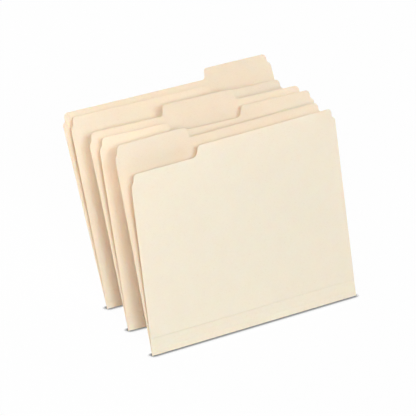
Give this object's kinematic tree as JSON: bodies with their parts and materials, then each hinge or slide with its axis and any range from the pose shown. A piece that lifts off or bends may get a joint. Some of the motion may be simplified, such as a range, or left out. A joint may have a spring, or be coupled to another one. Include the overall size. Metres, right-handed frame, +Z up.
{
  "type": "manila file folder set",
  "caption": "Letter-size manila file folders with cut tabs in staggered positions, standing fanned and slightly open, creased to hinge at the fold and score lines.",
  "frame": {"origin": "under the middle of the centre-tab folder's bottom fold, on the surface that the set stands on", "axes": "+X along the centre folder's fold towards the right-hand tab, +Y to the back, +Z up"},
  "size_m": [0.3264, 0.2489, 0.223],
  "materials": {
    "manila_stock": "smooth uncoated card, faint sheen"
  },
  "bodies": {
    "centre_back": {"centre_back_leaf": "manila_stock", "centre_bottom_fold": "manila_stock"},
    "centre_strips": {"centre_score_strip_1": "manila_stock", "centre_score_strip_2": "manila_stock", "centre_score_strip_3": "manila_stock"},
    "centre_front": {"centre_front_leaf": "manila_stock"},
    "left_back": {"left_back_leaf": "manila_stock", "left_bottom_fold": "manila_stock"},
    "left_strips": {"left_score_strip_1": "manila_stock", "left_score_strip_2": "manila_stock", "left_score_strip_3": "manila_stock"},
    "left_front": {"left_front_leaf": "manila_stock"},
    "right_back": {"right_back_leaf": "manila_stock"},
    "right_strips": {"right_score_strip_1": "manila_stock", "right_score_strip_2": "manila_stock", "right_score_strip_3": "manila_stock", "right_bottom_fold": "manila_stock"},
    "right_front": {"right_front_leaf": "manila_stock"}
  },
  "joints": [
    {"name": "centre_open", "type": "hinge", "parent": "centre_back", "child": "centre_strips", "pos_m": [0, 0, 0.00028], "axis": [1, 0, 0], "range_deg": [-4.7, 85]},
    {"name": "centre_score", "type": "hinge", "parent": "centre_strips", "child": "centre_front", "pos_m": [0, 0.00688, 0.01804], "axis": [-1, 0, 0], "range_deg": [-7, 4.7]},
    {"name": "left_tip", "type": "hinge", "parent": "centre_back", "child": "left_back", "pos_m": [-0.0121, -0.0559, 0.00028], "axis": [0.9979, 0.0645, 0], "range_deg": [-4.7, 85]},
    {"name": "left_open", "type": "hinge", "parent": "left_back", "child": "left_strips", "pos_m": [-0.0121, -0.0559, 0.00028], "axis": [-0.9979, -0.0645, 0], "range_deg": [-106, 5.5]},
    {"name": "left_score", "type": "hinge", "parent": "left_strips", "child": "left_front", "pos_m": [-0.01244, -0.05067, 0.0186], "axis": [0.9979, 0.0645, 0], "range_deg": [-5.5, 20]},
    {"name": "right_tip", "type": "hinge", "parent": "centre_back", "child": "right_strips", "pos_m": [0.0105, 0.0611, 0.00028], "axis": [-0.9998, -0.0175, 0], "range_deg": [0, 60]},
    {"name": "right_open", "type": "hinge", "parent": "right_strips", "child": "right_back", "pos_m": [0.0105, 0.0611, 0.00028], "axis": [0.9998, 0.0175, 0], "range_deg": [-60, 3.6]},
    {"name": "right_score", "type": "hinge", "parent": "right_strips", "child": "right_front", "pos_m": [0.01036, 0.06911, 0.01756], "axis": [0.9998, 0.0175, 0], "range_deg": [-3.6, 10]}
  ],
  "couplings": [
    {"joint": "left_tip", "follows": "centre_open", "ratio": 1}
  ]
}
